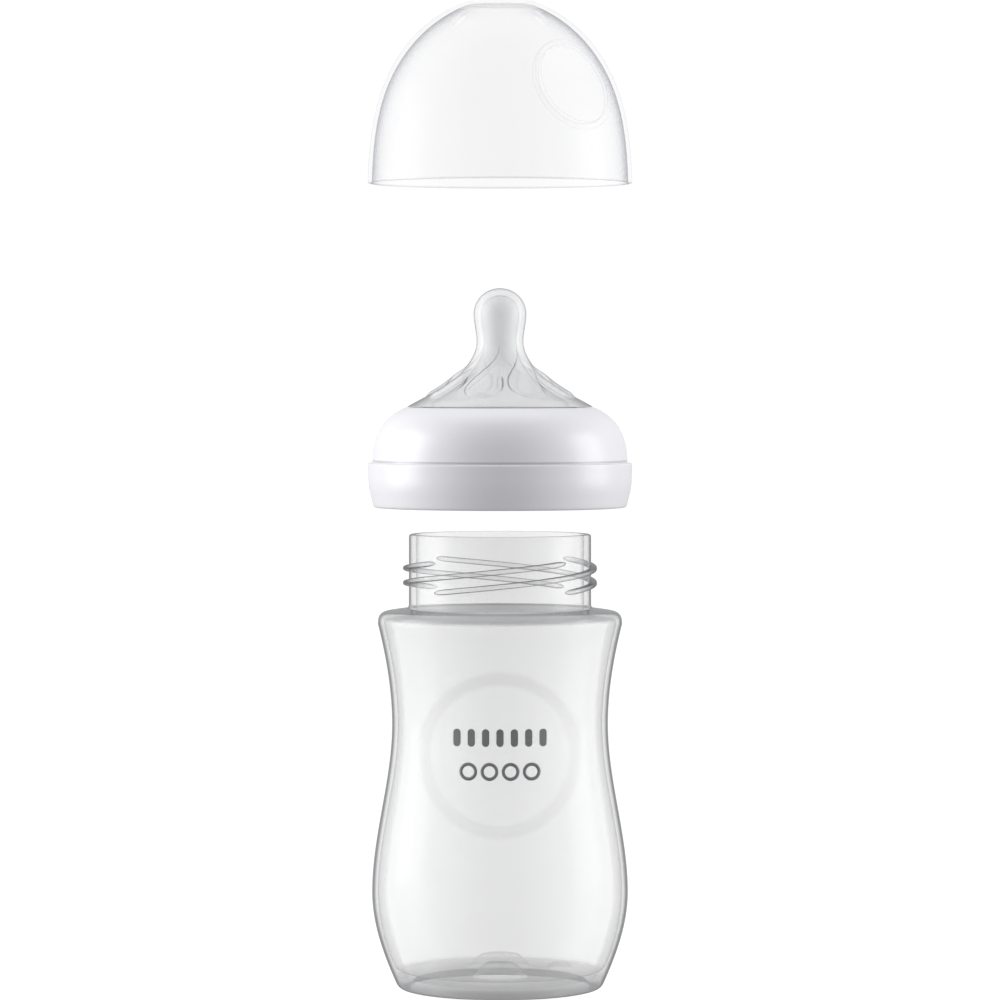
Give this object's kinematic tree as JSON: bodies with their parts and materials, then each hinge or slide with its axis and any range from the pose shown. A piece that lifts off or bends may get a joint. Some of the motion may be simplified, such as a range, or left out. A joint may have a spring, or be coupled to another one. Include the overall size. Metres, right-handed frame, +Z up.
{
  "type": "baby bottle",
  "caption": "Clear hourglass baby bottle with a threaded neck, a silicone teat in a white screw ring, and a clear dome cap lifted off.",
  "frame": {"origin": "centre of the bottle's foot, on the surface it stands on", "axes": "+Z up along the bottle's axis, -Y towards the front, where the round medallion is"},
  "size_m": [0.0702, 0.0702, 0.2619],
  "materials": {
    "clear_bottle": "clear, faintly frosted",
    "silicone": "translucent satin",
    "white_plastic": "gloss",
    "clear_cap": "clear gloss"
  },
  "bodies": {
    "bottle": {"bottle": "clear_bottle"},
    "teat": {"teat": "silicone"},
    "ring": {"ring": "white_plastic"},
    "cap": {"cap": "clear_cap"}
  },
  "joints": [
    {"name": "ring_lift", "type": "slide", "parent": "bottle", "child": "teat", "axis": [0, 0, 1], "range_m": [-0.0264, 0]},
    {"name": "ring_turn", "type": "hinge", "parent": "teat", "child": "ring", "pos_m": [0, 0, 0.1275], "axis": [0, 0, 1], "range_deg": [-609.23, 0]},
    {"name": "cap_lift", "type": "slide", "parent": "ring", "child": "cap", "axis": [0, 0, 1], "range_m": [-0.0741, 0]}
  ],
  "couplings": [
    {"joint": "ring_turn", "follows": "ring_lift", "rad_per_m": 402.77}
  ]
}
